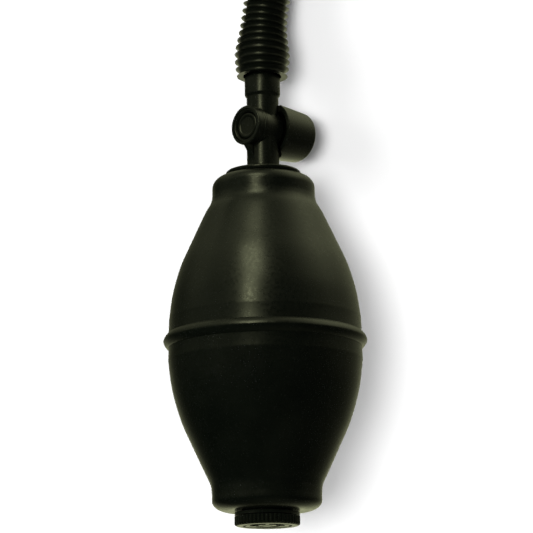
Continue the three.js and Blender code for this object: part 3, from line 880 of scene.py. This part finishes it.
def add_release_spring():
    """The coil between the barrel's boss and the button, with its end turns lying flat."""
    steps, sides = SPRING_TURNS * SPRING_STEPS_PER_TURN, SPRING_WIRE_SIDES
    verts, faces = [], []
    for i in range(steps + 1):
        angle = 2 * math.pi * SPRING_TURNS * i / steps
        steep = min(1, max(0, (i / steps - SPRING_FLAT_SHARE) / (1 - 2 * SPRING_FLAT_SHARE)))
        rise = (1 - SPRING_FLAT_RISE) * steep + SPRING_FLAT_RISE * i / steps
        height = SPRING_LOW + (SPRING_HIGH - SPRING_LOW) * rise
        for k in range(sides):
            turn = 2 * math.pi * k / sides
            r = SPRING_R + SPRING_WIRE_R * math.cos(turn)
            z = height + SPRING_WIRE_R * math.sin(turn)
            point = Vector((r * math.cos(angle), r * math.sin(angle), z))
            verts.append(BARREL @ (point * MM))
    for i in range(steps):
        for k in range(sides):
            m = (k + 1) % sides
            faces.append((i * sides + k, i * sides + m, (i + 1) * sides + m, (i + 1) * sides + k))
    faces.append(tuple(range(sides)))
    faces.append(tuple(steps * sides + k for k in range(sides - 1, -1, -1)))
    spring = face_out(link_mesh("spring", verts, faces))
    dress(spring, "spring_steel")
    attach(spring, "root")
    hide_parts("release_spring")
    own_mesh(spring)


add_release_valve()
add_release_spring()

# ---- vent end -------------------------------------------------------------------------------------
CAP_RIBS = 48
CAP_RIB_DEPTH = 0.32
CAP_RIBBED_FROM_R = 8.6
CAP_STEPS_PER_RIB = 10
CAP_START = -49.85
CAP_END = -52.5
CAP_WALL = 0.8
CAP_SLOTS = 3
SLOT_MIDDLE_R = 3.7
SLOT_HALF_WIDTH = 1.3
SLOT_HALF_ANGLE = 0.6
SLOT_STEPS = 16
SLOT_END_STEPS = 8


def add_vent_body():
    corners = [
        (5.2, -50.9, 0.2), (7.0, -50.9, 0.3), (7.0, -49.6, 0.1), (9.15, -49.6), (9.15, -48.7, 0.1),
        (7.2, -48.7, 0.1), (7.2, -44.1, 0.1), (8.6, -44.1, 0.2), (8.6, -43.0, 0.3), (7.4, -42.6, 0.2),
        (2.2, -42.6, 0.2), (2.2, -46.0, 0.1), (5.2, -46.0, 0.1),
    ]
    vent = turned("vent_body", rounded(corners), PUMP, PLUG_SIDES)
    dress(vent, "black_plastic")
    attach(vent, "root")
    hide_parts("vent_valve_body")


def kidney(middle):
    """A curved slot's cutter, through the cap's end wall, about the angle middle."""
    low, high = middle - SLOT_HALF_ANGLE, middle + SLOT_HALF_ANGLE

    def side(radius, start, end):
        angles = [start + (end - start) * k / SLOT_STEPS for k in range(SLOT_STEPS + 1)]
        return [(radius * math.cos(a), radius * math.sin(a)) for a in angles]

    def round_end(at, start):
        x, y = SLOT_MIDDLE_R * math.cos(at), SLOT_MIDDLE_R * math.sin(at)
        angles = [start + math.pi * k / SLOT_END_STEPS for k in range(1, SLOT_END_STEPS)]
        return [(x + SLOT_HALF_WIDTH * math.cos(a), y + SLOT_HALF_WIDTH * math.sin(a)) for a in angles]

    edge = side(SLOT_MIDDLE_R + SLOT_HALF_WIDTH, low, high) + round_end(high, high)
    edge += side(SLOT_MIDDLE_R - SLOT_HALF_WIDTH, high, low) + round_end(low, low + math.pi)
    verts = []
    for z in (CAP_END - 1.5, CAP_END + 2.0):
        verts += [PUMP @ Vector((x * MM, y * MM, z * MM)) for x, y in edge]
    return prism("slot", verts)


def add_vent_cap():
    corners = [
        (0, CAP_END), (1.5, CAP_END, 0.2), (1.9, CAP_END + 0.15, 0.2), (5.4, CAP_END + 0.15, 0.2),
        (5.8, CAP_END, 0.2), (6.2, CAP_END, 0.12), (6.3, CAP_END + 0.35, 0.1), (6.8, CAP_END + 0.35, 0.1),
        (6.9, CAP_END, 0.12), (8.55, CAP_END, 0.25), (9.2, CAP_END + 0.4, 0.3), (9.2, CAP_END + 0.9),
        (9.2, CAP_END + 1.6), (9.2, CAP_START), (7.4, CAP_START, 0.1), (7.4, CAP_END + CAP_WALL, 0.1),
        (0, CAP_END + CAP_WALL),
    ]

    def ribbed(_, radius, height, angle):
        if radius < CAP_RIBBED_FROM_R:
            return radius
        wave = 0.5 - 0.5 * math.cos(CAP_RIBS * angle)
        return radius - CAP_RIB_DEPTH * wave ** 1.3 * min(1, (radius - CAP_RIBBED_FROM_R) / 0.4)

    sides = CAP_RIBS * CAP_STEPS_PER_RIB
    cap = turned("vent_cap_shell", rounded(corners, 4, closed=False), PUMP, sides, ribbed)
    slots = [kidney(math.pi / 2 + i * 2 * math.pi / CAP_SLOTS) for i in range(CAP_SLOTS)]
    combine(cap, slots, "DIFFERENCE")
    dress(cap, "black_plastic")
    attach(cap, "cap")
    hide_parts("vent_cap")


add_vent_body()
add_vent_cap()


# ---- floor and light ------------------------------------------------------------------------------
# Broad soft lights: name, direction they come from, strength, the angle they fill in radians,
# and whether only the slim pieces shade them.
SOFT_LIGHTS = [
    ("key", (-0.285, 0.05, 0.95), 2.4, 0.43, False),
    ("low_fill", (-0.88, 0.12, 0.46), 2.1, 0.45, True),
]
SLIM_PIECES = ("hose", "tee", "button", "seat_ring", "poppet")
# Softboxes that only gloss sees: name, middle and aim from below the bead's middle, width and
# height, all in metres, and power.
SOFTBOXES = [
    ("wide", (-0.125, 0.49, 0.31), (0, 0.02, 0.03), 0.20, 0.26, 0.59),
    ("near", (-0.10, 0.215, 0.30), (0, 0.02, 0.03), 0.075, 0.05, 0.11),
]
SKY_ON_DULL = 0.35  # what the floor and every dull surface get from all round
SKY_SEEN = 0.90
REFLECTED_TINT = (0.96, 1.0, 0.60, 1)
FLOOR_REACH_M = 6.0
FLOOR_WHITE = (0.86, 0.86, 0.86, 1)
# Studio cards as gloss sees them: degrees from straight up, degrees round from +X, tightness, strength.
REFLECTED_CARDS = [
    (80, 50, 24, 0.26), (80, 90, 16, 0.17), (80, 120, 16, 0.24), (100, 42, 20, 0.60),
    (100, 72, 16, 0.13), (100, 112, 16, 0.22), (100, 150, 16, 0.21), (120, 60, 12, 0.58),
    (120, 120, 12, 0.18), (140, 30, 10, 0.25), (140, 100, 10, 0.22), (60, 160, 25, 0.14),
    (70, 280, 6, 0.06), (125, 300, 10, 0.16), (158, 270, 12, 0.95),
    (100, 6, 10, 0.05),
]


def add_floor():
    r = FLOOR_REACH_M
    floor = link_mesh("floor", [(-r, -r, 0), (r, -r, 0), (r, r, 0), (-r, r, 0)], [(0, 1, 2, 3)])
    material = bpy.data.materials.new("floor_white")
    material.use_nodes = True
    shader = material.node_tree.nodes["Principled BSDF"]
    shader.inputs["Base Color"].default_value = FLOOR_WHITE
    shader.inputs["Roughness"].default_value = 1.0
    shader.inputs["Specular IOR Level"].default_value = 0.0
    floor.data.materials.append(material)
    floor.visible_glossy = False


def add_soft_lights():
    slim = bpy.data.collections.new("slim_pieces")
    for name in SLIM_PIECES:
        slim.objects.link(bpy.data.objects[name])
    for name, direction, strength, angle, slim_only in SOFT_LIGHTS:
        data = bpy.data.lights.new(name, "SUN")
        data.angle = angle
        data.energy = strength
        light = bpy.data.objects.new(name, data)
        bpy.context.scene.collection.objects.link(light)
        towards = Vector(direction).normalized()
        light.location = BEAD_POINT + towards
        light.rotation_mode = "QUATERNION"
        light.rotation_quaternion = towards.to_track_quat("Z", "Y")
        light.visible_camera = False
        light.visible_glossy = False
        if slim_only:
            light.light_linking.blocker_collection = slim


def add_softboxes():
    for name, middle, aim, width, height, power in SOFTBOXES:
        data = bpy.data.lights.new(name, "AREA")
        data.shape = "RECTANGLE"
        data.size = width
        data.size_y = height
        data.energy = power
        data.color = REFLECTED_TINT[:3]
        light = bpy.data.objects.new(name, data)
        bpy.context.scene.collection.objects.link(light)
        light.location = Vector(middle) + Vector((0, BEAD_POINT.y, 0))
        away = (Vector(middle) - Vector(aim)).normalized()
        light.rotation_mode = "QUATERNION"
        light.rotation_quaternion = away.to_track_quat("Z", "Y")
        light.visible_camera = False
        light.visible_diffuse = False


def unit_vector(from_up_degrees, round_from_x_degrees):
    up, turn = math.radians(from_up_degrees), math.radians(round_from_x_degrees)
    return math.sin(up) * math.cos(turn), math.sin(up) * math.sin(turn), math.cos(up)


def add_world():
    """A pale sky for the camera, a dimmer one for dull surfaces, and dark studio cards for gloss."""
    world = bpy.data.worlds.new("studio")
    world.use_nodes = True
    world.cycles.sampling_method = "NONE"
    bpy.context.scene.world = world
    tree = world.node_tree
    link = tree.links.new
    background = tree.nodes["Background"]
    looking = tree.nodes.new("ShaderNodeTexCoord").outputs["Generated"]
    total = None
    for from_up, round_from_x, tightness, strength in REFLECTED_CARDS:
        dot = tree.nodes.new("ShaderNodeVectorMath")
        dot.operation = "DOT_PRODUCT"
        link(looking, dot.inputs[0])
        dot.inputs[1].default_value = unit_vector(from_up, round_from_x)
        fall = tree.nodes.new("ShaderNodeMath")
        fall.operation = "MULTIPLY_ADD"
        link(dot.outputs["Value"], fall.inputs[0])
        fall.inputs[1].default_value = tightness
        fall.inputs[2].default_value = -tightness
        lobe = tree.nodes.new("ShaderNodeMath")
        lobe.operation = "EXPONENT"
        link(fall.outputs[0], lobe.inputs[0])
        more = tree.nodes.new("ShaderNodeMath")
        more.operation = "MULTIPLY_ADD"
        link(lobe.outputs[0], more.inputs[0])
        more.inputs[1].default_value = strength
        if total is None:
            more.inputs[2].default_value = 0.0
        else:
            link(total, more.inputs[2])
        total = more.outputs[0]
    seen = tree.nodes.new("ShaderNodeLightPath")
    cards = tree.nodes.new("ShaderNodeMix")
    cards.data_type = "RGBA"
    cards.blend_type = "MULTIPLY"
    cards.inputs["Factor"].default_value = 1
    link(total, cards.inputs[6])
    cards.inputs[7].default_value = REFLECTED_TINT
    dull = tree.nodes.new("ShaderNodeMapRange")
    dull.inputs["To Min"].default_value = SKY_ON_DULL
    dull.inputs["To Max"].default_value = SKY_SEEN
    link(seen.outputs["Is Camera Ray"], dull.inputs["Value"])
    choose = tree.nodes.new("ShaderNodeMix")
    choose.data_type = "RGBA"
    link(seen.outputs["Is Glossy Ray"], choose.inputs["Factor"])
    link(dull.outputs["Result"], choose.inputs[6])
    link(cards.outputs[2], choose.inputs[7])
    link(choose.outputs[2], background.inputs["Color"])


add_floor()
add_world()
add_soft_lights()
add_softboxes()
bpy.context.scene.view_settings.view_transform = "Standard"
bpy.context.scene.view_settings.look = "None"
